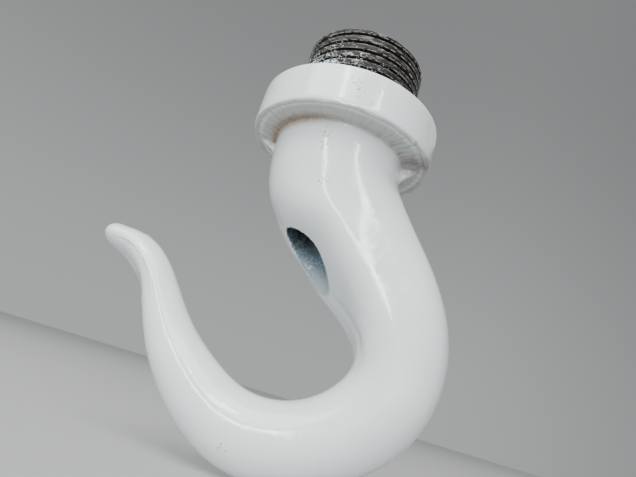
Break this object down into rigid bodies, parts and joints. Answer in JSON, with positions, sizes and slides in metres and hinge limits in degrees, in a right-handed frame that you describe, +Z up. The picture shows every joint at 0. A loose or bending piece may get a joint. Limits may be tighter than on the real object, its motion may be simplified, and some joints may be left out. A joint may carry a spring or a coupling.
{
  "type": "swivel load hook",
  "caption": "Forged load hook, white enamelled, whose thick collar swivels on a black male-threaded suspension stud; axial neck bore opens into the throat, flared bill tip.",
  "frame": {"origin": "on the swivel axis, level with the collar's top face, where the stud's M52 x 4 thread begins", "axes": "+Z up the swivel axis, out of the stud's threaded end; the hook lies in the XZ plane and its bill points towards -X"},
  "size_m": [0.1449, 0.0766, 0.1782],
  "materials": {
    "white_enamel": "thick glossy cool-white enamel over forged steel",
    "black_steel": "blackened, oily, worn bright on the thread crests, with white overspray",
    "seal_rubber": "matt black",
    "bronze": "turned bearing bronze",
    "bearing_steel": "ground and polished",
    "cage_brass": "satin",
    "plated_steel": "dull zinc"
  },
  "bodies": {
    "suspension_stud": {"swivel_stud": "black_steel", "lower_race": "bearing_steel", "nut_washer": "plated_steel", "castle_nut": "plated_steel", "split_pin": "plated_steel"},
    "swivel_hook": {"hook": "white_enamel", "dust_seal": "seal_rubber", "wear_washer": "bronze", "stem_bush": "bronze", "upper_race": "bearing_steel"},
    "ball_ring": {"ball_cage": "cage_brass", "ball_1": "bearing_steel", "ball_2": "bearing_steel", "ball_3": "bearing_steel", "ball_4": "bearing_steel", "ball_5": "bearing_steel", "ball_6": "bearing_steel", "ball_7": "bearing_steel", "ball_8": "bearing_steel", "ball_9": "bearing_steel", "ball_10": "bearing_steel"}
  },
  "joints": [
    {"name": "hook_swivel", "type": "hinge", "parent": "suspension_stud", "child": "swivel_hook", "pos_m": [0, 0, -0.022], "axis": [0, 0, 1], "continuous": true},
    {"name": "ball_ring_turn", "type": "hinge", "parent": "suspension_stud", "child": "ball_ring", "pos_m": [0, 0, -0.027], "axis": [0, 0, 1], "continuous": true}
  ],
  "couplings": [
    {"joint": "ball_ring_turn", "follows": "hook_swivel", "ratio": 0.5}
  ]
}
